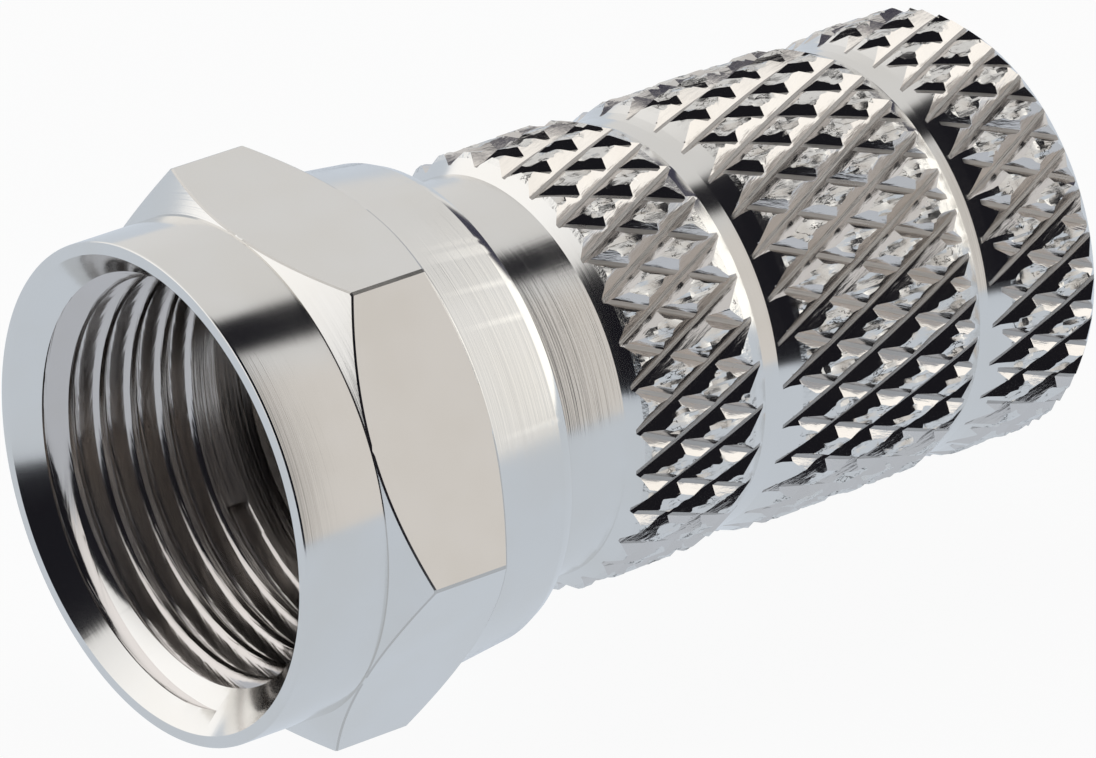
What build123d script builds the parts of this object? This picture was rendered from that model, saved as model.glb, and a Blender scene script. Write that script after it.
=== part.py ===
from build123d import *
import math
import os

# Twist-on male F connector, in millimetres.
# X runs along the axis from the mouth of the nut towards the cable end, Z is up.
# The origin is on the axis, on the flange face that the end of the jack butts against.

# Female thread of the coupling nut, as a plain wall at its minor radius
thread_major_radius = 4.82
thread_depth = 0.42
mating_depth = 5.4
relief_length = 1.2
relief_step = 0.03

# Coupling nut, outside
hex_sides = 6
hex_wall = 0.68
hex_chamfer_length = 0.57
collar_step = 0.04
collar_length = 2.05
rim_width = 0.27
rim_round = 0.07
mouth_bevel_angle = 40
nut_wall = 1.0
skirt_length = 2.0
skirt_taper = 0.2
skirt_bevel_length = 0.28
skirt_bevel_depth = 0.12

# Flanged ferrule
ferrule_bore_radius = 2.45
ferrule_wall = 0.7
flange_thickness = 0.54
flange_gap = 0.2
ferrule_grip = 2.4
ferrule_edge = 0.15

# Running clearances of the nut on the ferrule and the sleeve
spin_clearance = 0.05
flange_clearance = 0.06
rear_clearance = 0.06

# Knurled sleeve
bore_step = 0.25
sleeve_wall = 1.43
grip_gap = 0.1
cable_lead_in = 0.45
neck_length = 1.9
neck_depth = 0.43
neck_edge = 0.08
ring_depth = 0.26
first_bevel_length = 0.39
first_crest_length = 2.55
second_crest_length = 4.0
third_crest_length = 1.92
band_bevel_length = 0.7
first_ring_width = 0.45
second_ring_width = 0.25
end_bevel_length = 0.3
end_bevel_depth = 0.26

# Diamond knurl: low pyramids with small lands between two crossing sets of helical grooves
knurl_starts = 30
knurl_helix = 25.5
knurl_depth = 0.21
knurl_land_half_width = 0.15
knurl_phase = -3.63
knurl_lead = 0.05
blank_allowance = 0.02

# Places along the axis, from the flange face
mouth_x = -mating_depth
flange_rear_x = flange_thickness
nut_wall_x = flange_rear_x + flange_clearance
nut_rear_x = nut_wall_x + nut_wall
relief_x = nut_wall_x - relief_length
sleeve_x = nut_rear_x + rear_clearance
barrel_end_x = sleeve_x + ferrule_grip
web_x = barrel_end_x + grip_gap
band_x = sleeve_x + neck_length

# Radii that follow from the thread, the cable and the fits
thread_minor_radius = thread_major_radius - thread_depth
relief_radius = thread_major_radius + relief_step
flat_radius = thread_major_radius + hex_wall
corner_radius = flat_radius / math.cos(math.pi / hex_sides)
collar_radius = flat_radius - collar_step
mouth_radius = collar_radius - rim_width
skirt_rear_radius = flat_radius - skirt_taper
flange_radius = thread_minor_radius - flange_gap
barrel_radius = ferrule_bore_radius + ferrule_wall
nut_bore_radius = barrel_radius + spin_clearance
cable_bore_radius = barrel_radius + bore_step
crest_radius = cable_bore_radius + sleeve_wall
neck_radius = crest_radius - neck_depth
ring_radius = crest_radius - ring_depth
knurl_root_radius = crest_radius - knurl_depth
blank_radius = crest_radius + blank_allowance


def around(x, radius, angle):
    """Point at a place along the axis, a radius and an angle in degrees from +Z towards -Y."""
    turn = math.radians(angle)
    return Vector(x, -radius * math.sin(turn), radius * math.cos(turn))


def turned(points):
    """Solid of revolution about the X axis, from (x, radius) points."""
    outline = Polyline([(x, 0, radius) for x, radius in points], close=True)
    return revolve(make_face(outline), Axis.X, 360)


def bored(solid, points):
    """Cut a stepped round hole, given as (x, radius) points along its wall."""
    first = points[0][0]
    last = points[-1][0]
    return solid - turned([(first, 0)] + points + [(last, 0)])


def nut_outline():
    """Turned outside of the nut: collar, both hex chamfers, skirt and rear bevel."""
    collar_x = mouth_x + collar_length
    hex_rear_x = nut_rear_x - skirt_length
    bevel_x = nut_rear_x - skirt_bevel_length
    return turned([
        (mouth_x, 0),
        (mouth_x, collar_radius - rim_round),
        (mouth_x + rim_round, collar_radius),
        (collar_x, collar_radius),
        (collar_x, flat_radius),
        (collar_x + hex_chamfer_length, corner_radius),
        (hex_rear_x - hex_chamfer_length, corner_radius),
        (hex_rear_x, flat_radius),
        (bevel_x, skirt_rear_radius),
        (nut_rear_x, skirt_rear_radius - skirt_bevel_depth),
        (nut_rear_x, 0),
    ])


def hexagonal_bar():
    """Six-sided bar with a flat facing straight up."""
    side_angle = 360 / hex_sides
    corners = [around(mouth_x, corner_radius, side_angle * (side + 0.5)) for side in range(hex_sides)]
    section = Face(Wire.make_polygon(corners, close=True))
    return extrude(section, nut_rear_x - mouth_x, dir=(1, 0, 0))


def coupling_nut():
    """Hex nut with a flat above and below, so that it lies on a flat."""
    bevel_length = (mouth_radius - thread_minor_radius) / math.tan(math.radians(mouth_bevel_angle))
    return bored(nut_outline() & hexagonal_bar(), [
        (mouth_x, mouth_radius),
        (mouth_x + bevel_length, thread_minor_radius),
        (relief_x, thread_minor_radius),
        (relief_x, relief_radius),
        (nut_wall_x, relief_radius),
        (nut_wall_x, nut_bore_radius),
        (nut_rear_x, nut_bore_radius),
    ])


def flanged_ferrule():
    """Eyelet whose flange keeps the nut on and whose barrel is pressed into the sleeve."""
    ferrule = turned([
        (0, 0),
        (0, flange_radius - ferrule_edge),
        (ferrule_edge, flange_radius),
        (flange_rear_x, flange_radius),
        (flange_rear_x, barrel_radius),
        (barrel_end_x - ferrule_edge, barrel_radius),
        (barrel_end_x, barrel_radius - ferrule_edge),
        (barrel_end_x, 0),
    ])
    return bored(ferrule, [(0, ferrule_bore_radius), (barrel_end_x, ferrule_bore_radius)])


def sleeve_outline():
    """Turned outside of the sleeve: neck, three bands, two ring grooves and the end bevel."""
    steps = [
        (first_bevel_length, blank_radius),
        (first_crest_length, blank_radius),
        (band_bevel_length, ring_radius),
        (first_ring_width, ring_radius),
        (band_bevel_length, blank_radius),
        (second_crest_length, blank_radius),
        (band_bevel_length, ring_radius),
        (second_ring_width, ring_radius),
        (band_bevel_length, blank_radius),
        (third_crest_length, blank_radius),
        (end_bevel_length, crest_radius - end_bevel_depth),
    ]
    points = [
        (sleeve_x, 0),
        (sleeve_x, neck_radius - neck_edge),
        (sleeve_x + neck_edge, neck_radius),
        (band_x, neck_radius),
    ]
    x = band_x
    for length, radius in steps:
        x += length
        points.append((x, radius))
    return turned(points + [(x, 0)]), x


def knurl_bar(first_x, end_x):
    """Faceted bar of four-sided pyramids with flat lands, left between the crossing grooves."""
    half_step = 180 / knurl_starts
    half_arc = math.radians(half_step)
    row_step = half_arc * crest_radius / math.tan(math.radians(knurl_helix))
    last_row = math.ceil((end_x - first_x) / row_step)

    # The land's length makes each flank, between a groove bottom and the land's edge, one flat face
    root_half_width = knurl_root_radius * math.sin(half_arc)
    sag = knurl_root_radius * (1 - math.cos(half_arc))
    spread = root_half_width * knurl_depth + sag * knurl_land_half_width
    land_half_length = row_step * knurl_land_half_width * (sag + knurl_depth) / spread
    land_radius = math.hypot(crest_radius, knurl_land_half_width)
    land_half_angle = math.degrees(math.atan2(knurl_land_half_width, crest_radius))

    def crossing(row, index):
        return around(first_x + row * row_step, knurl_root_radius, index * half_step + knurl_phase)

    faces = []
    ends = {0: [], last_row: []}
    for row in range(last_row + 1):
        x = first_x + row * row_step
        for start in range(knurl_starts):
            middle = (2 * start + row + 1) % (2 * knurl_starts)
            angle = middle * half_step + knurl_phase
            before = crossing(row, (middle - 1) % (2 * knurl_starts))
            after = crossing(row, (middle + 1) % (2 * knurl_starts))
            low = around(x, land_radius, angle - land_half_angle)
            high = around(x, land_radius, angle + land_half_angle)
            land = [low]
            if row < last_row:
                ahead = crossing(row + 1, middle)
                tip = around(x + land_half_length, crest_radius, angle)
                faces += [[before, ahead, tip, low], [ahead, after, high, tip]]
                land.append(tip)
            land.append(high)
            if row > 0:
                behind = crossing(row - 1, middle)
                tip = around(x - land_half_length, crest_radius, angle)
                faces += [[behind, before, low, tip], [behind, tip, high, after]]
                land.append(tip)
            faces.append(land)
            if row in ends:
                ends[row] += [(middle - 1, before), (middle, low), (middle, high)]
    for corners in ends.values():
        ordered = sorted(corners, key=lambda corner: corner[0] % (2 * knurl_starts))
        faces.append([point for index, point in ordered])
    return Solid(Shell([Face(Wire.make_polygon(corners, close=True)) for corners in faces]))


def knurled_sleeve():
    """Sleeve with the knurl cut on its bands, a press seat in front and the cable bore behind."""
    outline, end_x = sleeve_outline()
    return bored(outline & knurl_bar(sleeve_x - knurl_lead, end_x), [
        (sleeve_x, barrel_radius),
        (web_x, barrel_radius),
        (web_x, cable_bore_radius),
        (end_x - cable_lead_in, cable_bore_radius),
        (end_x, cable_bore_radius + cable_lead_in),
    ])


nodes = {
    "coupling_nut": coupling_nut,
    "flanged_ferrule": flanged_ferrule,
    "knurled_sleeve": knurled_sleeve,
}

os.makedirs("parts", exist_ok=True)
for name, make in nodes.items():
    export_step(make(), f"parts/{name}.step")
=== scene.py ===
import math
import bpy
import bmesh
from mathutils import Matrix, Vector


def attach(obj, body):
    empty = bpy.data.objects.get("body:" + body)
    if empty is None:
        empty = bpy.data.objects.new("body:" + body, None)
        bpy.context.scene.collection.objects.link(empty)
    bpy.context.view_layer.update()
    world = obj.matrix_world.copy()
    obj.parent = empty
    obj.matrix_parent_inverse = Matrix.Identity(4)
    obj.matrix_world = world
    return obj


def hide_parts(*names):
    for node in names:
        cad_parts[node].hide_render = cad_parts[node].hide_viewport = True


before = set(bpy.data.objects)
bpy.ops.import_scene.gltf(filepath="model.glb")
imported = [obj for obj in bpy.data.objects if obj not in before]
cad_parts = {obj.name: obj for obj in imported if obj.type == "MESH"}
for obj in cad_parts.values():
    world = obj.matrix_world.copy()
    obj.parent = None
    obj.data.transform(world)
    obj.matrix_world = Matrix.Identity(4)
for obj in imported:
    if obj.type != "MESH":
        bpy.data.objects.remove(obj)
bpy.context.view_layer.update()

# Sizes are written in millimetres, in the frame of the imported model.
# X runs along the axis towards the cable end, and an angle is counted from +Z towards the camera side.
MM = 0.001
PER_MM = 1000.0
TURN = 2 * math.pi

# Camera, as fitted to the hexagon's corners and the turned edges
CAMERA_PLACE = (-110.1, -143.8, 105.5)
CAMERA_FORWARD = (0.5414, 0.6767, -0.4988)
CAMERA_RIGHT = (0.7942, -0.6062, 0.0395)
CAMERA_LENS = 328.5
FLOOR_HEIGHT = -5.5

# Coupling nut: hexagon, collar before it and skirt behind it
FLAT_DISTANCE = 5.5
EDGE_BREAK = 0.05
MOUTH = -5.4
MOUTH_RADIUS = 5.19
COLLAR_RADIUS = 5.46
COLLAR_END = -3.35
CORNER_RADIUS = 6.345
SKIRT_FRONT = -0.4
SKIRT_RADIUS = 5.49
NUT_REAR = 1.6
NUT_SIDES = 288

# Parts of the nut by their place along the axis
CHAMFER_ZONE = (-3.34, -2.8)
SKIRT_ZONE = (-0.36, 1.3)
HEXAGON_ZONE = (-3.34, -0.42)
HEXAGON_LEAST_RADIUS = 5.487
MOUTH_BEVEL_END = -4.5

# Nut's bore, with the relief and the rear wall behind its thread
THREAD_MINOR = 4.4
THREAD_FRONT_WALL = -4.46
RELIEF_FRONT = -0.6
RELIEF_REAR = 0.6
RELIEF_RADIUS = 4.85
REAR_HOLE = 3.2
NUT_THREAD = {"front": -5.30, "radius": THREAD_MINOR, "depth": 0.42, "pitch": 0.794, "turns": 5.58,
              "share": 0.88, "steps": 144, "phase": math.radians(15.2)}

# Knurled sleeve
SLEEVE_FRONT = 1.66
SLEEVE_END = 16.22
KNURL_STARTS = 30
KNURL_TWIST = math.radians(5.655)
CREST = 4.83
CREST_BAND = 0.12
FIRST_SET = {"root": 4.59, "tip": 4.99, "flat": 0.10, "phase": math.radians(5.3), "seed": 3}
SECOND_SET = {"root": 4.65, "tip": 5.07, "flat": 0.11, "phase": math.radians(11.1), "seed": 8}
BAR_FRONT = 3.4
BAR_LENGTH = 13.0
BAR_RINGS = 60
FLANK_STEPS = 4
GROOVE_WANDER = 0.03
BOTTOM_BAND = 0.03
OUTLINE_GAP = 0.14
PRESS_SEAT = 3.15
WEB_REAR = 4.16
JACKET_BORE = 3.4
JACKET_THREAD = {"front": 5.6, "radius": JACKET_BORE, "depth": 0.33, "pitch": 1.25, "turns": 8.9,
                 "share": 0.7, "steps": 96, "phase": 0.6}
SLEEVE_SIDES = 256
CREST_SIDES = 400

# Flanged ferrule
FLANGE_RADIUS = 4.2
FLANGE_REAR = 0.54
BARREL_RADIUS = 3.15
BARREL_END = 4.06
FERRULE_BORE = 2.45
FERRULE_SIDES = 192

# Creases above these angles, in degrees, stay sharp
NUT_CREASE = 28
ROUND_CREASE = 24
BREAK_CREASE = 12

# Slots that every boolean operand carries in the same order
(TURNED, PLAIN, FIRST_GROOVES, SECOND_GROOVES, SCREW, CRESTS,
 FIRST_BOTTOMS, SECOND_BOTTOMS, RINGED, WORN) = range(10)

# Metal colours
NICKEL = (0.765, 0.75, 0.725)
GROOVE_NICKEL = (0.68, 0.65, 0.625)
# Groove bottoms: nickel darkened with painted shade
BOTTOM_NICKEL_PAINTED_SHADE = (0.46, 0.44, 0.42)
THREAD_NICKEL = (0.62, 0.585, 0.56)
WORN_NICKEL = (0.6, 0.58, 0.55)
# Near-black of the painted shadow lines on the knurl crests
PAINTED_SHADOW_LINE_COLOUR = (0.035, 0.028, 0.026, 1)
WARM_PATCHES = (0.985, 0.978, 0.965)

# Studio colours
WHITE = (1, 1, 1, 1)
ROOM = (0.80, 0.80, 0.80, 1)
BACK_LIGHT = (1.25, 1.25, 1.25, 1)
END_PANEL = (1.5, 1.48, 1.42, 1)
WARM_SIDE = (0.80, 0.77, 0.74, 1)
TABLE = (0.655, 0.715, 0.795, 1)
SMALL_PANEL = (0.05, 0.05, 0.08, 1)
DARK_PANEL = (0.012, 0.012, 0.016, 1)
MATT_FLOOR = (0.9, 0.92, 0.95, 1)


def outwards(obj):
    """Turns the faces of a closed mesh outwards."""
    form = bmesh.new()
    form.from_mesh(obj.data)
    bmesh.ops.recalc_face_normals(form, faces=form.faces)
    form.to_mesh(obj.data)
    form.free()
    return obj


def mesh_object(name, verts, faces):
    """A mesh object from points in millimetres, its faces outwards."""
    mesh = bpy.data.meshes.new(name)
    mesh.from_pydata([Vector(v) * MM for v in verts], [], faces)
    obj = bpy.data.objects.new(name, mesh)
    bpy.context.scene.collection.objects.link(obj)
    return outwards(obj)


def around(x, radius, angle):
    """The point at that place along the axis, radius and angle."""
    return (x, -radius * math.sin(angle), radius * math.cos(angle))


def filleted(points, steps=4):
    """An outline of (x, radius, fillet) points, with its corners rounded by arcs."""
    out = []
    count = len(points)
    for i, point in enumerate(points):
        here = Vector(point[:2])
        fillet = point[2] if len(point) > 2 else 0
        if not fillet or i in (0, count - 1):
            out.append(tuple(here))
            continue
        back = Vector(points[i - 1][:2]) - here
        ahead = Vector(points[i + 1][:2]) - here
        half = back.angle(ahead) / 2
        reach = min(fillet / math.tan(half), back.length * 0.45, ahead.length * 0.45)
        start = here + back.normalized() * reach
        end = here + ahead.normalized() * reach
        for step in range(steps + 1):
            t = step / steps
            out.append(tuple(start * (1 - t) ** 2 + here * 2 * t * (1 - t) + end * t ** 2))
    return out


def spaced(points, gap):
    """The same outline with more points, so that none of its steps is longer than the gap."""
    out = []
    for here, ahead in zip(points, points[1:]):
        count = max(1, math.ceil((Vector(ahead) - Vector(here)).length / gap))
        out += [tuple(Vector(here).lerp(Vector(ahead), i / count)) for i in range(count)]
    return out + [points[-1]]


def turned(name, outline, sides):
    """A closed solid of revolution from the (x, radius) points of its outside."""
    count = len(outline)
    verts = []
    for side in range(sides):
        verts += [around(x, radius, TURN * side / sides) for x, radius in outline]
    faces = []
    for side in range(sides):
        a = side * count
        b = (side + 1) % sides * count
        faces += [(a + i, b + i, b + i + 1, a + i + 1) for i in range(count - 1)]
    faces.append([side * count for side in reversed(range(sides))])
    faces.append([side * count + count - 1 for side in range(sides)])
    return mesh_object(name, verts, faces)


def prism(name, corners, x0, x1):
    """A straight bar along X from the (y, z) corners of its section."""
    count = len(corners)
    verts = [(x0, y, z) for y, z in corners] + [(x1, y, z) for y, z in corners]
    faces = [(i, (i + 1) % count, (i + 1) % count + count, i + count) for i in range(count)]
    faces += [list(reversed(range(count))), list(range(count, 2 * count))]
    return mesh_object(name, verts, faces)


def baked(obj):
    """Turns the object's modifiers into a plain mesh and removes them."""
    graph = bpy.context.evaluated_depsgraph_get()
    mesh = bpy.data.meshes.new_from_object(obj.evaluated_get(graph))
    obj.modifiers.clear()
    old = obj.data
    obj.data = mesh
    bpy.data.meshes.remove(old)
    return obj


def slotted(obj, slot):
    """Gives the object every finish in the common order and sets all its faces to one of them."""
    obj.data.materials.clear()
    for finish in FINISHES:
        obj.data.materials.append(finish)
    for face in obj.data.polygons:
        face.material_index = slot
    return obj


def combined(obj, other, operation):
    """The boolean of two closed objects. The second one is used up."""
    modifier = obj.modifiers.new(operation, "BOOLEAN")
    modifier.operation = operation
    modifier.solver = "MANIFOLD"
    modifier.object = other
    baked(obj)
    bpy.data.objects.remove(other)
    return obj


def shaded(obj, angle):
    """Smooth shading with the creases above that angle kept sharp."""
    for face in obj.data.polygons:
        face.use_smooth = True
    obj.data.set_sharp_from_angle(angle=math.radians(angle))
    return obj


# Node building
class Nodes:
    """Short calls for adding and linking the nodes of one tree."""

    def __init__(self, tree):
        self.tree = tree

    def add(self, kind, inputs=None, **settings):
        node = self.tree.nodes.new(kind)
        for key, value in settings.items():
            setattr(node, key, value)
        for key, value in (inputs or {}).items():
            self.put(node.inputs[key], value)
        return node

    def put(self, socket, value):
        if isinstance(value, bpy.types.NodeSocket):
            self.tree.links.new(value, socket)
        elif isinstance(value, bpy.types.Node):
            self.tree.links.new(value.outputs[0], socket)
        else:
            socket.default_value = value

    def math(self, operation, a, b=None):
        node = self.add("ShaderNodeMath", operation=operation)
        for i, value in enumerate((a, b)):
            if value is not None:
                self.put(node.inputs[i], value)
        return node.outputs[0]

    def chain(self, operation, *values):
        total = values[0]
        for value in values[1:]:
            total = self.math(operation, total, value)
        return total

    def xyz(self, x, y, z):
        return self.add("ShaderNodeCombineXYZ", {0: x, 1: y, 2: z}).outputs[0]

    def parts(self, vector):
        return self.add("ShaderNodeSeparateXYZ", {0: vector}).outputs

    def reach(self, a, b):
        """The length of the vector (a, b)."""
        return self.math("SQRT", self.math("ADD", self.math("MULTIPLY", a, a), self.math("MULTIPLY", b, b)))

    def group(self, tree, values):
        node = self.add("ShaderNodeGroup", node_tree=tree)
        for label, value in values.items():
            node.inputs[label].default_value = value
        return node

    def finish(self, geometry, material, socket):
        """Ends a geometry tree: real instances with the material."""
        real = self.add("GeometryNodeRealizeInstances", {"Geometry": geometry})
        self.put(socket, self.add("GeometryNodeSetMaterial", {"Geometry": real, "Material": material}))

    def ramp(self, value, low, high, to_low=0.0, to_high=1.0, smooth=False):
        node = self.add("ShaderNodeMapRange", {0: value, 1: low, 2: high, 3: to_low, 4: to_high})
        node.interpolation_type = "SMOOTHSTEP" if smooth else "LINEAR"
        return node.outputs[0]

    def mixed(self, factor, a, b):
        node = self.add("ShaderNodeMix", data_type="RGBA")
        for key, value in ((0, factor), (6, a), (7, b)):
            self.put(node.inputs[key], value)
        return node.outputs[2]


def new_tree(name, kind, inputs, outputs):
    """A node group with named sockets. Inputs are (name, socket type, default)."""
    tree = bpy.data.node_groups.new(name, kind)
    for label, socket, default in inputs:
        item = tree.interface.new_socket(name=label, in_out="INPUT", socket_type=socket)
        if default is not None:
            item.default_value = default
    for label, socket in outputs:
        tree.interface.new_socket(name=label, in_out="OUTPUT", socket_type=socket)
    nodes = Nodes(tree)
    start = nodes.add("NodeGroupInput").outputs
    end = nodes.add("NodeGroupOutput").inputs
    return tree, nodes, start, end


FLOAT, INT, VECTOR = "NodeSocketFloat", "NodeSocketInt", "NodeSocketVector"
GEOMETRY, MATERIAL = "NodeSocketGeometry", "NodeSocketMaterial"


def grown(obj, tree, values):
    """The plain mesh that a geometry tree makes of an object, its inputs set by the sockets' identifiers."""
    modifier = obj.modifiers.new(tree.name, "NODES")
    modifier.node_group = tree
    keys = {item.name: item.identifier for item in tree.interface.items_tree
            if item.item_type == "SOCKET" and item.in_out == "INPUT"}
    for label, value in values.items():
        modifier[keys[label]] = value
    return baked(obj)


# Shader groups
def turning_marks():
    """Fine rings that a lathe tool leaves, some of them broken."""
    tree, nodes, given, result = new_tree("Turning marks", "ShaderNodeTree", [
        ("Rings per mm", FLOAT, 12.0), ("Breaks", FLOAT, 1.0), ("Seed", FLOAT, 0.0),
    ], [("Height", FLOAT), ("Fine", FLOAT)])
    place = nodes.add("ShaderNodeTexCoord").outputs["Object"]
    part = nodes.parts(place)
    radius = nodes.reach(part[1], part[2])
    angle = nodes.math("ARCTAN2", part[1], part[2])
    per_metre = nodes.math("MULTIPLY", given["Rings per mm"], PER_MM)
    along = nodes.math("MULTIPLY", nodes.math("ADD", part[0], nodes.math("MULTIPLY", radius, 0.7)), per_metre)
    sweep = nodes.math("MULTIPLY", angle, given["Breaks"])
    rings = nodes.add("ShaderNodeTexNoise", {
        "Vector": nodes.xyz(along, nodes.math("SINE", sweep), nodes.math("COSINE", sweep)),
        "W": given["Seed"], "Scale": 1.0, "Detail": 3.0, "Roughness": 0.65}, noise_dimensions="4D")
    fine = nodes.add("ShaderNodeTexNoise", {
        "Vector": nodes.xyz(nodes.math("MULTIPLY", along, 4.3), nodes.math("SINE", angle),
                            nodes.math("COSINE", angle)),
        "W": given["Seed"], "Scale": 1.0, "Detail": 2.0}, noise_dimensions="4D")
    nodes.put(result["Height"], rings.outputs[0])
    nodes.put(result["Fine"], fine.outputs[0])
    return tree


def groove_streaks():
    """Drag marks along one set of the knurl's grooves."""
    tree, nodes, given, result = new_tree("Groove streaks", "ShaderNodeTree", [
        ("Twist", FLOAT, 0.0), ("Fineness", FLOAT, 60.0), ("Length", FLOAT, 1.2),
    ], [("Height", FLOAT)])
    place = nodes.add("ShaderNodeTexCoord").outputs["Object"]
    part = nodes.parts(place)
    angle = nodes.math("ARCTAN2", nodes.math("MULTIPLY", part[1], -1.0), part[2])
    radius = nodes.reach(part[1], part[2])
    across = nodes.math("SUBTRACT", angle, nodes.math("MULTIPLY", part[0], given["Twist"]))
    streak = nodes.add("ShaderNodeTexNoise", {
        "Vector": nodes.xyz(nodes.math("MULTIPLY", across, given["Fineness"]),
                            nodes.math("MULTIPLY", part[0], nodes.math("MULTIPLY", given["Length"], PER_MM)),
                            nodes.math("MULTIPLY", radius, 14 * PER_MM)),
        "Scale": 1.0, "Detail": 3.0, "Roughness": 0.6}, noise_dimensions="3D")
    nodes.put(result["Height"], streak.outputs[0])
    return tree


def painted_shadow_lines():
    """Thin ragged near-black lines of painted shadow, drawn out along the axis."""
    tree, nodes, given, result = new_tree("Painted shadow lines", "ShaderNodeTree", [
        ("Length per mm", FLOAT, 2.0), ("Width per mm", FLOAT, 4.0), ("Thickness", FLOAT, 0.02),
        ("Share", FLOAT, 0.5),
    ], [("Mask", FLOAT)])
    place = nodes.add("ShaderNodeTexCoord").outputs["Object"]
    part = nodes.parts(place)
    across = nodes.math("MULTIPLY", given["Width per mm"], PER_MM)
    ragged = nodes.add("ShaderNodeTexNoise", {
        "Vector": nodes.xyz(nodes.chain("MULTIPLY", part[0], given["Length per mm"], PER_MM),
                            nodes.math("MULTIPLY", part[1], across), nodes.math("MULTIPLY", part[2], across)),
        "Scale": 1.0, "Detail": 4.0, "Roughness": 0.65})
    away = nodes.math("ABSOLUTE", nodes.math("SUBTRACT", ragged.outputs[0], 0.5))
    line = nodes.ramp(away, nodes.math("MULTIPLY", given["Thickness"], 0.4), given["Thickness"], 1.0, 0.0)
    broken = nodes.add("ShaderNodeTexNoise", {"Vector": place, "Scale": 1.9 * PER_MM, "Detail": 1.0})
    low = nodes.math("SUBTRACT", 0.62, nodes.math("MULTIPLY", given["Share"], 0.25))
    nodes.put(result["Mask"], nodes.math("MULTIPLY", line, nodes.ramp(
        broken.outputs[0], low, nodes.math("ADD", low, 0.05))))
    return tree


def plating():
    """Soft unevenness of the plating and of the metal under it, with a few specks."""
    tree, nodes, given, result = new_tree("Plating", "ShaderNodeTree", [
        ("Waves per mm", FLOAT, 1.6), ("Specks per mm", FLOAT, 4.0), ("Speck share", FLOAT, 0.1),
    ], [("Height", FLOAT), ("Specks", FLOAT), ("Patches", FLOAT)])
    place = nodes.add("ShaderNodeTexCoord").outputs["Object"]
    waves = nodes.add("ShaderNodeTexNoise", {
        "Vector": place, "Scale": nodes.math("MULTIPLY", given["Waves per mm"], PER_MM), "Detail": 2.0})
    speck = nodes.add("ShaderNodeTexNoise", {
        "Vector": place, "Scale": nodes.math("MULTIPLY", given["Specks per mm"], PER_MM), "Detail": 1.0})
    edge = nodes.math("SUBTRACT", 0.78, given["Speck share"])
    patches = nodes.add("ShaderNodeTexNoise", {
        "Vector": place, "Detail": 3.0,
        "Scale": nodes.math("MULTIPLY", given["Waves per mm"], 0.33 * PER_MM)})
    nodes.put(result["Height"], waves.outputs[0])
    nodes.put(result["Specks"], nodes.ramp(speck.outputs[0], edge, nodes.math("ADD", edge, 0.03)))
    nodes.put(result["Patches"], patches.outputs[0])
    return tree


def nickel(name, colour, roughness, groups, waves, bumps=(), shadow_line_inputs=None):
    """Bright nickel plating with waves of that depth in mm.

    Bumps are (group, output, inputs, depth in mm), and the last argument holds the inputs of the painted
    shadow lines.
    """
    material = bpy.data.materials.new(name)
    material.use_nodes = True
    tree = material.node_tree
    nodes = Nodes(tree)
    metal = tree.nodes["Principled BSDF"]
    skin = nodes.group(groups["plating"], {})
    warm = tuple(c * f for c, f in zip(colour, WARM_PATCHES)) + (1,)
    skin_colour = nodes.mixed(nodes.ramp(skin.outputs["Patches"], 0.4, 0.65), (*colour, 1), warm)
    # Painted shadow: thin near-black lines mixed into the base colour
    if shadow_line_inputs:
        torn = nodes.group(groups["painted_shadow_lines"], shadow_line_inputs)
        skin_colour = nodes.mixed(torn.outputs["Mask"], skin_colour, PAINTED_SHADOW_LINE_COLOUR)
    nodes.put(metal.inputs["Base Color"], skin_colour)
    metal.inputs["Metallic"].default_value = 1.0
    nodes.put(metal.inputs["Roughness"],
              nodes.ramp(skin.outputs["Patches"], 0.3, 0.7, roughness * 0.85, roughness * 1.2))
    normal = nodes.add("ShaderNodeBump", {"Strength": 1.0, "Distance": waves * MM,
                                          "Height": skin.outputs["Height"]}).outputs[0]
    for group, output, inputs, depth in bumps:
        marks = nodes.group(groups[group], inputs)
        normal = nodes.add("ShaderNodeBump", {"Strength": 1.0, "Distance": depth * MM, "Normal": normal,
                                              "Height": marks.outputs[output]}).outputs[0]
    nodes.put(metal.inputs["Normal"], normal)
    return material


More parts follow.
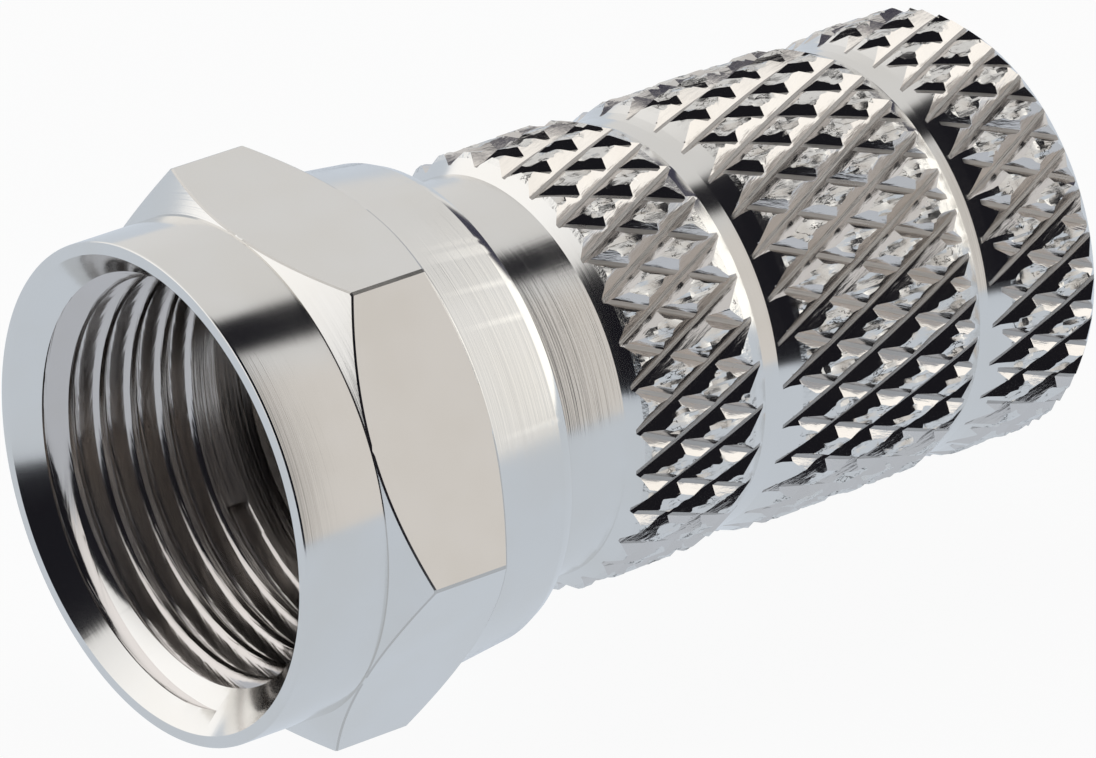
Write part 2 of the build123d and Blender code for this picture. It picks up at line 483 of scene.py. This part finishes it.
# Geometry trees
def grooved_bar():
    """A bar with straight V grooves along it, twisted into helices. Each groove wanders a little."""
    tree, nodes, given, result = new_tree("Grooved bar", "GeometryNodeTree", [
        ("Starts", INT, 32), ("Steps per flank", INT, 4), ("Front", FLOAT, 0.0), ("Length", FLOAT, 0.01),
        ("Rings", INT, 60), ("Tip radius", FLOAT, 0.005), ("Root radius", FLOAT, 0.0045),
        ("Flat share", FLOAT, 0.1), ("Twist", FLOAT, 0.0), ("Phase", FLOAT, 0.0), ("Wander", FLOAT, 0.0),
        ("Seed", INT, 1), ("Material", MATERIAL, None),
    ], [("Geometry", GEOMETRY)])
    per_start = nodes.math("ADD", nodes.math("MULTIPLY", given["Steps per flank"], 2.0), 1.0)
    circle = nodes.add("GeometryNodeCurvePrimitiveCircle", {
        "Resolution": nodes.math("MULTIPLY", given["Starts"], per_start), "Radius": 1.0})
    index = nodes.add("GeometryNodeInputIndex")
    start = nodes.math("FLOOR", nodes.math("DIVIDE", index, per_start))
    corner = nodes.math("SUBTRACT", index, nodes.math("MULTIPLY", start, per_start))
    climb = nodes.math("DIVIDE", corner, given["Steps per flank"])
    falling = nodes.math("GREATER_THAN", climb, 1.01)
    descent = nodes.math("DIVIDE", nodes.math("SUBTRACT", nodes.math("SUBTRACT", per_start, 1.0), corner),
                         given["Steps per flank"])
    height = nodes.add("GeometryNodeSwitch", {"Switch": falling, "False": climb, "True": descent},
                       input_type="FLOAT").outputs[0]
    half_flat = nodes.math("MULTIPLY", given["Flat share"], 0.5)
    half_flank = nodes.math("SUBTRACT", 0.5, half_flat)
    offset = nodes.math("ADD", half_flat, nodes.math("MULTIPLY", half_flank, height))
    share = nodes.add("GeometryNodeSwitch", {"Switch": falling, "False": offset,
                                             "True": nodes.math("SUBTRACT", 1.0, offset)}, input_type="FLOAT")
    rise = nodes.math("MULTIPLY", nodes.math("SUBTRACT", given["Tip radius"], given["Root radius"]), height)
    radius = nodes.math("ADD", given["Root radius"], rise)
    step = nodes.math("DIVIDE", TURN, given["Starts"])
    angle = nodes.math("MULTIPLY", nodes.math("ADD", start, share), step)
    section = nodes.add("GeometryNodeSetPosition", {
        "Geometry": circle, "Position": nodes.xyz(
            nodes.math("MULTIPLY", radius, nodes.math("COSINE", angle)),
            nodes.math("MULTIPLY", radius, nodes.math("SINE", angle)), 0.0)})
    axis = nodes.add("GeometryNodeCurvePrimitiveLine", {"Start": (0, 0, 0)})
    nodes.put(axis.inputs["End"], nodes.xyz(0.0, 0.0, given["Length"]))
    rings = nodes.add("GeometryNodeResampleCurve", {"Curve": axis, "Count": given["Rings"]})
    bar = nodes.add("GeometryNodeCurveToMesh", {"Curve": rings, "Profile Curve": section, "Fill Caps": True})
    place = nodes.add("GeometryNodeInputPosition")
    part = nodes.parts(place)
    along = nodes.math("ADD", part[2], given["Front"])
    turn = nodes.math("ARCTAN2", part[1], part[0])
    wide = nodes.reach(part[0], part[1])
    wobble = nodes.add("ShaderNodeTexNoise", {
        "Vector": nodes.xyz(nodes.math("MULTIPLY", part[0], 0.9 * PER_MM),
                            nodes.math("MULTIPLY", part[1], 0.9 * PER_MM),
                            nodes.math("MULTIPLY", part[2], 0.7 * PER_MM)),
        "W": given["Seed"], "Scale": 1.0, "Detail": 1.0}, noise_dimensions="4D")
    shift = nodes.math("MULTIPLY", nodes.math("SUBTRACT", wobble.outputs[0], 0.5), given["Wander"])
    final = nodes.chain("ADD", turn, nodes.math("MULTIPLY", along, given["Twist"]), given["Phase"],
                        nodes.math("DIVIDE", shift, given["Root radius"]))
    deep = nodes.math("ADD", wide, shift)
    twisted = nodes.add("GeometryNodeSetPosition", {
        "Geometry": bar, "Position": nodes.xyz(
            along, nodes.math("MULTIPLY", nodes.math("MULTIPLY", deep, nodes.math("SINE", final)), -1.0),
            nodes.math("MULTIPLY", deep, nodes.math("COSINE", final)))})
    nodes.finish(twisted, given["Material"], result["Geometry"])
    return tree


def thread_cutter():
    """A rounded V swept along a helix, which cuts one thread."""
    tree, nodes, given, result = new_tree("Thread cutter", "GeometryNodeTree", [
        ("Front", FLOAT, 0.0), ("Bore radius", FLOAT, 0.004), ("Depth", FLOAT, 0.0004),
        ("Pitch", FLOAT, 0.0008), ("Turns", FLOAT, 6.0), ("Width share", FLOAT, 0.9),
        ("Steps per turn", INT, 144), ("Phase", FLOAT, 0.0), ("Material", MATERIAL, None),
    ], [("Geometry", GEOMETRY)])
    sunk = 0.008 * MM
    line = nodes.add("GeometryNodeCurvePrimitiveLine", {"Start": (-0.5, 0, 0), "End": (0.5, 0, 0)})
    fine = nodes.add("GeometryNodeResampleCurve", {"Curve": line, "Count": 13})
    share = nodes.parts(nodes.add("GeometryNodeInputPosition"))[0]
    wave = nodes.math("POWER", nodes.math("COSINE", nodes.math("MULTIPLY", share, math.pi)), 1.8)
    height = nodes.math("MULTIPLY", nodes.math("ADD", given["Depth"], sunk), wave)
    width = nodes.chain("MULTIPLY", share, given["Width share"], given["Pitch"])
    shape = nodes.add("GeometryNodeSetPosition", {
        "Geometry": fine, "Position": nodes.xyz(nodes.math("SUBTRACT", height, sunk), width, 0.0)})
    section = nodes.add("GeometryNodeSetSplineCyclic", {"Geometry": shape, "Cyclic": True})
    count = nodes.math("MULTIPLY", given["Steps per turn"], given["Turns"])
    axis = nodes.add("GeometryNodeCurvePrimitiveLine", {"Start": (0, 0, 0), "End": (0, 0, 1)})
    path = nodes.add("GeometryNodeResampleCurve", {"Curve": axis, "Count": count})
    strip = nodes.add("GeometryNodeCurveToMesh", {"Curve": path, "Profile Curve": section, "Fill Caps": True})
    part = nodes.parts(nodes.add("GeometryNodeInputPosition"))
    turns = nodes.math("MULTIPLY", part[2], given["Turns"])
    angle = nodes.math("ADD", nodes.math("MULTIPLY", turns, TURN), given["Phase"])
    radius = nodes.math("ADD", given["Bore radius"], part[0])
    along = nodes.chain("ADD", given["Front"], nodes.math("MULTIPLY", turns, given["Pitch"]), part[1])
    helix = nodes.add("GeometryNodeSetPosition", {
        "Geometry": strip, "Position": nodes.xyz(
            along, nodes.math("MULTIPLY", nodes.math("MULTIPLY", radius, nodes.math("SINE", angle)), -1.0),
            nodes.math("MULTIPLY", radius, nodes.math("COSINE", angle)))})
    nodes.finish(helix, given["Material"], result["Geometry"])
    return tree


def crest_wear():
    """Pits and torn seams along the axis, sunk into a turned surface wherever it reaches the crest radius."""
    tree, nodes, given, result = new_tree("Crest wear", "GeometryNodeTree", [
        ("Geometry", GEOMETRY, None), ("Crest radius", FLOAT, 0.005), ("Depth", FLOAT, 0.0001),
        ("Share", FLOAT, 0.5), ("Length per mm", FLOAT, 1.2), ("Width per mm", FLOAT, 6.0), ("Seed", INT, 1),
        ("Material", MATERIAL, None),
    ], [("Geometry", GEOMETRY)])
    part = nodes.parts(nodes.add("GeometryNodeInputPosition"))
    wide = nodes.reach(part[1], part[2])
    across = nodes.math("MULTIPLY", given["Width per mm"], PER_MM)
    pits = nodes.add("ShaderNodeTexNoise", {
        "Vector": nodes.xyz(nodes.chain("MULTIPLY", part[0], given["Length per mm"], PER_MM),
                            nodes.math("MULTIPLY", part[1], across), nodes.math("MULTIPLY", part[2], across)),
        "W": given["Seed"], "Scale": 1.0, "Detail": 3.0, "Roughness": 0.6}, noise_dimensions="4D")
    low = nodes.math("SUBTRACT", 0.62, nodes.math("MULTIPLY", given["Share"], 0.3))
    torn = nodes.ramp(pits.outputs[0], low, nodes.math("ADD", low, 0.12))
    crest = nodes.math("GREATER_THAN", wide, nodes.math("SUBTRACT", given["Crest radius"], 0.004 * MM))
    sunk = nodes.chain("MULTIPLY", torn, crest, given["Depth"])
    shrink = nodes.math("SUBTRACT", 1.0, nodes.math("DIVIDE", sunk, wide))
    moved = nodes.add("GeometryNodeSetPosition", {
        "Geometry": given["Geometry"], "Position": nodes.xyz(
            part[0], nodes.math("MULTIPLY", part[1], shrink), nodes.math("MULTIPLY", part[2], shrink))})
    nodes.finish(moved, given["Material"], result["Geometry"])
    return tree


def edges_broken(obj, width, angle, wanted):
    """Breaks the wanted sharp edges of a mesh with a small bevel."""
    form = bmesh.new()
    form.from_mesh(obj.data)
    bmesh.ops.remove_doubles(form, verts=form.verts, dist=0.008 * MM)
    sharp = [e for e in form.edges if len(e.link_faces) == 2
             and e.calc_face_angle() > math.radians(angle) and wanted(e)]
    bmesh.ops.bevel(form, geom=sharp, offset=width * MM, offset_type="OFFSET", segments=1, profile=0.5,
                    affect="EDGES", clamp_overlap=False, material=WORN)
    form.to_mesh(obj.data)
    form.free()
    return obj


SHADERS = {"turning": turning_marks(), "streaks": groove_streaks(), "plating": plating(), "painted_shadow_lines": painted_shadow_lines()}
FINISHES = [
    nickel("Nickel turned", NICKEL, 0.13, SHADERS, 0.0006, [
        ("turning", "Height", {"Rings per mm": 9.0, "Breaks": 0.7}, 0.0012),
        ("turning", "Fine", {"Rings per mm": 9.0, "Breaks": 1.0}, 0.0006)]),
    nickel("Nickel plain", NICKEL, 0.15, SHADERS, 0.0012),
    nickel("Nickel first grooves", GROOVE_NICKEL, 0.14, SHADERS, 0.004, [
        ("streaks", "Height", {"Twist": -KNURL_TWIST / MM, "Fineness": 50.0, "Length": 2.2}, 0.006)]),
    nickel("Nickel second grooves", GROOVE_NICKEL, 0.14, SHADERS, 0.004, [
        ("streaks", "Height", {"Twist": KNURL_TWIST / MM, "Fineness": 50.0, "Length": 2.2}, 0.006)]),
    nickel("Nickel thread", THREAD_NICKEL, 0.15, SHADERS, 0.0006, [
        ("turning", "Height", {"Rings per mm": 20.0, "Breaks": 0.5}, 0.025)]),
    # The crests' colour carries the painted shadow lines
    nickel("Nickel crests", NICKEL, 0.24, SHADERS, 0.004, [
        ("streaks", "Height", {"Twist": 0.0, "Fineness": 60.0, "Length": 2.0}, 0.014)],
        {"Length per mm": 2.2, "Width per mm": 4.5, "Thickness": 0.018, "Share": 0.35}),
    # The groove bottoms' colour is darkened with painted shade
    nickel("Nickel first bottoms with painted shade", BOTTOM_NICKEL_PAINTED_SHADE, 0.2, SHADERS, 0.0006, [
        ("streaks", "Height", {"Twist": -KNURL_TWIST / MM, "Fineness": 150.0, "Length": 0.25}, 0.02)]),
    nickel("Nickel second bottoms with painted shade", BOTTOM_NICKEL_PAINTED_SHADE, 0.3, SHADERS, 0.0006, [
        ("streaks", "Height", {"Twist": KNURL_TWIST / MM, "Fineness": 150.0, "Length": 0.4}, 0.012)]),
    nickel("Nickel ringed", NICKEL, 0.16, SHADERS, 0.0006, [
        ("turning", "Height", {"Rings per mm": 11.0, "Breaks": 0.6}, 0.005),
        ("turning", "Fine", {"Rings per mm": 11.0, "Breaks": 1.0}, 0.002)]),
    nickel("Nickel worn edges", WORN_NICKEL, 0.25, SHADERS, 0.012),
]
BAR = grooved_bar()
CUTTER = thread_cutter()
WEAR = crest_wear()


def within(value, zone):
    """Whether a value lies between a zone's two ends."""
    return zone[0] < value < zone[1]


def threaded(obj, name, form):
    """Cuts a helical thread into the bore of a closed object."""
    cutter = slotted(outwards(grown(mesh_object(name, [], []), CUTTER, {
        "Front": form["front"] * MM, "Bore radius": form["radius"] * MM, "Depth": form["depth"] * MM,
        "Pitch": form["pitch"] * MM, "Turns": form["turns"], "Width share": form["share"],
        "Steps per turn": form["steps"], "Phase": form["phase"], "Material": FINISHES[SCREW]})), SCREW)
    return combined(obj, cutter, "DIFFERENCE")


def hexagon_bar():
    """Bar of the hexagon's section, with its six corners cut off by narrow worn faces."""
    corner = FLAT_DISTANCE / math.cos(TURN / 12)
    spots = []
    for k in range(6):
        middle = TURN * (k + 0.5) / 6
        spots.append((-corner * math.sin(middle), corner * math.cos(middle)))
    section = []
    for k in range(6):
        here, back, ahead = (Vector(spots[i % 6]) for i in (k, k - 1, k + 1))
        section += [tuple(here + (other - here).normalized() * EDGE_BREAK) for other in (back, ahead)]
    hexagon = slotted(prism("hexagon", section, MOUTH - 1, NUT_REAR + 1), PLAIN)
    for face in hexagon.data.polygons:
        if face.area < 2 * MM * MM:
            face.material_index = WORN
    return hexagon


def chamfer_edge(edge):
    """Whether an edge is one of the curved lines where the chamfers cut the hexagon's sides."""
    first, last = edge.verts
    return all(within(v.co.x / MM, HEXAGON_ZONE) and v.co.yz.length / MM > HEXAGON_LEAST_RADIUS
               for v in edge.verts) and abs(first.co.x - last.co.x) < 0.9 * edge.calc_length()


def make_nut():
    """Coupling nut: turned outside, hexagon, bore with its thread and the relief behind it."""
    outside = filleted([
        (MOUTH, 4.0), (MOUTH, COLLAR_RADIUS, 0.06), (COLLAR_END, COLLAR_RADIUS), (COLLAR_END, 5.485),
        (-2.78, CORNER_RADIUS), (-0.97, CORNER_RADIUS), (SKIRT_FRONT, SKIRT_RADIUS, 0.04), (1.32, 5.3, 0.03),
        (NUT_REAR, 5.18, 0.03), (NUT_REAR, 2.6)])
    nut = slotted(turned("coupling_nut_detailed", outside, NUT_SIDES), TURNED)
    for face in nut.data.polygons:
        if within(face.center.x / MM, SKIRT_ZONE) or within(face.center.x / MM, CHAMFER_ZONE):
            face.material_index = RINGED
    combined(nut, hexagon_bar(), "INTERSECT")
    edges_broken(nut, EDGE_BREAK * 0.6, BREAK_CREASE, chamfer_edge)
    bore = slotted(turned("bore", filleted([
        (MOUTH - 1, 6.03), (MOUTH, MOUTH_RADIUS), (THREAD_FRONT_WALL, THREAD_MINOR),
        (RELIEF_FRONT, THREAD_MINOR, 0.03), (RELIEF_FRONT, RELIEF_RADIUS, 0.03),
        (RELIEF_REAR, RELIEF_RADIUS, 0.08), (RELIEF_REAR, REAR_HOLE, 0.03),
        (NUT_REAR + 1, REAR_HOLE)]), NUT_SIDES), SCREW)
    for face in bore.data.polygons:
        if face.center.x / MM < MOUTH_BEVEL_END:
            face.material_index = TURNED
    combined(nut, bore, "DIFFERENCE")
    threaded(nut, "nut_thread", NUT_THREAD)
    shaded(nut, NUT_CREASE)
    for face in nut.data.polygons:
        hexagon_side = face.material_index == PLAIN and face.area > 4 * MM * MM
        if face.material_index == WORN or hexagon_side:
            face.use_smooth = False
    return nut


def make_sleeve():
    """Knurled sleeve: two crossing sets of grooves, the turned outline, neck, bore and jacket thread."""
    bars = []
    for slot, bottom, twist, form in ((FIRST_GROOVES, FIRST_BOTTOMS, -KNURL_TWIST, FIRST_SET),
                                      (SECOND_GROOVES, SECOND_BOTTOMS, KNURL_TWIST, SECOND_SET)):
        bars.append(slotted(outwards(grown(mesh_object("grooved_bar", [], []), BAR, {
            "Starts": KNURL_STARTS, "Steps per flank": FLANK_STEPS, "Front": BAR_FRONT * MM,
            "Length": BAR_LENGTH * MM, "Rings": BAR_RINGS, "Tip radius": form["tip"] * MM,
            "Root radius": form["root"] * MM, "Flat share": form["flat"], "Twist": twist / MM,
            "Phase": form["phase"], "Wander": GROOVE_WANDER * MM, "Seed": form["seed"],
            "Material": FINISHES[slot]})), slot))
        # Faces near the groove roots take the bottoms' finish, whose colour is darkened with painted shade
        for face in bars[-1].data.polygons:
            if face.center.yz.length / MM < form["root"] + BOTTOM_BAND:
                face.material_index = bottom
    sleeve = bars[0]
    sleeve.name = sleeve.data.name = "knurled_sleeve_detailed"
    combined(sleeve, bars[1], "INTERSECT")
    outline = [
        (3.5, 4.0), (3.6, 4.42), (3.96, CREST, 0.03), (6.5, CREST, 0.03), (7.2, 4.55), (7.58, 4.57, 0.1),
        (7.82, 4.63, 0.15), (8.33, CREST, 0.03), (12.4, CREST, 0.03), (13.05, 4.55), (13.28, 4.57, 0.1),
        (13.55, 4.63, 0.15), (14.05, CREST, 0.03), (15.9, CREST, 0.06), (SLEEVE_END, 4.57, 0.04),
        (SLEEVE_END, 3.0)]
    blank = turned("outline", spaced(filleted(outline), OUTLINE_GAP), CREST_SIDES)
    slotted(outwards(grown(blank, WEAR, {
        "Crest radius": CREST * MM, "Depth": 0.09 * MM, "Share": 0.5, "Length per mm": 1.3,
        "Width per mm": 6.0, "Seed": 5, "Material": FINISHES[CRESTS]})), TURNED)
    for face in blank.data.polygons:
        if face.center.yz.length / MM > CREST - CREST_BAND:
            face.material_index = CRESTS
    combined(sleeve, blank, "INTERSECT")
    neck = slotted(turned("neck", filleted([
        (SLEEVE_FRONT, 2.0), (SLEEVE_FRONT, 4.38, 0.08), (3.75, 4.43), (3.75, 2.0)]), SLEEVE_SIDES), RINGED)
    combined(sleeve, neck, "UNION")
    bore = slotted(turned("bore", filleted([
        (SLEEVE_FRONT - 1, PRESS_SEAT), (WEB_REAR, PRESS_SEAT), (WEB_REAR, JACKET_BORE, 0.05),
        (SLEEVE_END - 0.45, JACKET_BORE, 0.05), (SLEEVE_END + 0.5, JACKET_BORE + 0.95)]),
        SLEEVE_SIDES), SCREW)
    combined(sleeve, bore, "DIFFERENCE")
    threaded(sleeve, "jacket_thread", JACKET_THREAD)
    return shaded(sleeve, ROUND_CREASE)


def make_ferrule():
    """Flanged ferrule that holds the nut on, with its bore and rounded edges."""
    ferrule = slotted(turned("flanged_ferrule_detailed", filleted([
        (0, 2.0), (0, FLANGE_RADIUS, 0.12), (FLANGE_REAR, FLANGE_RADIUS, 0.05), (FLANGE_REAR, BARREL_RADIUS),
        (BARREL_END, BARREL_RADIUS, 0.12), (BARREL_END, 2.0)]), FERRULE_SIDES), TURNED)
    bore = slotted(turned("bore", filleted([
        (-0.5, 3.1), (0.15, FERRULE_BORE, 0.08), (3.95, FERRULE_BORE, 0.05), (4.6, 3.1)]),
        FERRULE_SIDES), SCREW)
    combined(ferrule, bore, "DIFFERENCE")
    return shaded(ferrule, ROUND_CREASE)


# Pieces
for make, body, node in ((make_nut, "nut", "coupling_nut"), (make_sleeve, "sleeve", "knurled_sleeve"),
                         (make_ferrule, "sleeve", "flanged_ferrule")):
    piece = make()
    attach(piece, body)
    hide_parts(node)
    print(piece.name, sum(len(face.vertices) - 2 for face in piece.data.polygons), "triangles")


def add_camera():
    """The camera as it was fitted to the photograph."""
    camera = bpy.data.objects.new("camera", bpy.data.cameras.new("camera"))
    bpy.context.scene.collection.objects.link(camera)
    forward = Vector(CAMERA_FORWARD).normalized()
    right = Vector(CAMERA_RIGHT)
    right = (right - forward * right.dot(forward)).normalized()
    facing = Matrix((right, right.cross(forward), -forward)).transposed()
    camera.matrix_world = Matrix.Translation(Vector(CAMERA_PLACE) * MM) @ facing.to_4x4()
    camera.data.lens = CAMERA_LENS
    camera.data.sensor_width = 36
    camera.data.clip_start = 0.01
    camera.data.clip_end = 10
    bpy.context.scene.camera = camera


def add_floor():
    """Floor that is white to the camera, with the object's shadow, and a pale table to the metal."""
    floor = mesh_object("floor", [(x, y, FLOOR_HEIGHT) for x, y in (
        (-700, 400), (-70, -60), (60, -60), (1500, -60), (1500, 1500), (-700, 1500))], [(0, 1, 2, 3, 4, 5)])
    material = bpy.data.materials.new("Floor")
    material.use_nodes = True
    tree = material.node_tree
    nodes = Nodes(tree)
    tree.nodes.remove(tree.nodes["Principled BSDF"])
    matt = nodes.add("ShaderNodeBsdfDiffuse", {"Color": MATT_FLOOR})
    white = nodes.add("ShaderNodeEmission", {"Color": WHITE, "Strength": 1.0})
    table = nodes.add("ShaderNodeEmission", {"Color": TABLE, "Strength": 1.0})
    path = nodes.add("ShaderNodeLightPath").outputs
    seen = nodes.add("ShaderNodeMixShader", {0: 0.94, 1: matt.outputs[0], 2: white.outputs[0]})
    direct = nodes.add("ShaderNodeMixShader", {
        0: path["Is Camera Ray"], 1: matt.outputs[0], 2: seen.outputs[0]})
    both = nodes.add("ShaderNodeMixShader", {
        0: path["Is Glossy Ray"], 1: direct.outputs[0], 2: table.outputs[0]})
    tree.links.new(both.outputs[0], tree.nodes["Material Output"].inputs[0])
    floor.data.materials.append(material)


def add_world():
    """A pale room by direction.

    A soft light stands behind on the left, a white panel at the cable end and a large dark one on the
    camera's side. Below the horizon is the table. The camera itself sees only white.
    """
    world = bpy.data.worlds.new("studio")
    bpy.context.scene.world = world
    world.use_nodes = True
    tree = world.node_tree
    nodes = Nodes(tree)
    background = tree.nodes["Background"]
    towards = nodes.add("ShaderNodeTexCoord").outputs["Generated"]

    def side(direction, low, high):
        """0 to 1 as the direction looked in goes from low to high along another one."""
        dot = nodes.add("ShaderNodeVectorMath", {0: towards, 1: direction}, operation="DOT_PRODUCT")
        return nodes.ramp(dot.outputs["Value"], low, high, smooth=True)

    colour = nodes.mixed(side((-0.6, 0.8, 0.1), 0.35, 0.95), ROOM, BACK_LIGHT)
    colour = nodes.mixed(side((1, 0, 0), 0.70, 0.98), colour, END_PANEL)
    warm = nodes.chain("MULTIPLY", side((0, -1, 0), 0.2, 0.45), side((1, 0, 0), 0.1, 0.4),
                       side((-1, 0, 0), -0.72, -0.55))
    colour = nodes.mixed(warm, colour, WARM_SIDE)
    inner = nodes.math("MAXIMUM", side((-1, 0, 0), -0.43, -0.33), side((0, 1, 0), -0.21, -0.09))
    dark = nodes.chain("MULTIPLY", inner, side((0.02, -1, 0), -0.19, -0.10), side((0.5, -1, 0), -0.46, -0.38),
                       side((-1, 0, 0), -0.72, -0.62), side((0, 0, 1), -0.12, -0.06))
    colour = nodes.mixed(side((0, -0.08, 1), -0.02, 0.02), TABLE, colour)
    colour = nodes.mixed(side((0.89, 0.40, 0.23), 0.970, 0.990), colour, SMALL_PANEL)
    colour = nodes.mixed(dark, colour, DARK_PANEL)
    seen = nodes.add("ShaderNodeLightPath").outputs["Is Camera Ray"]
    nodes.put(background.inputs["Color"], nodes.mixed(seen, colour, WHITE))


add_camera()
add_floor()
add_world()
bpy.context.scene.view_settings.view_transform = "Standard"
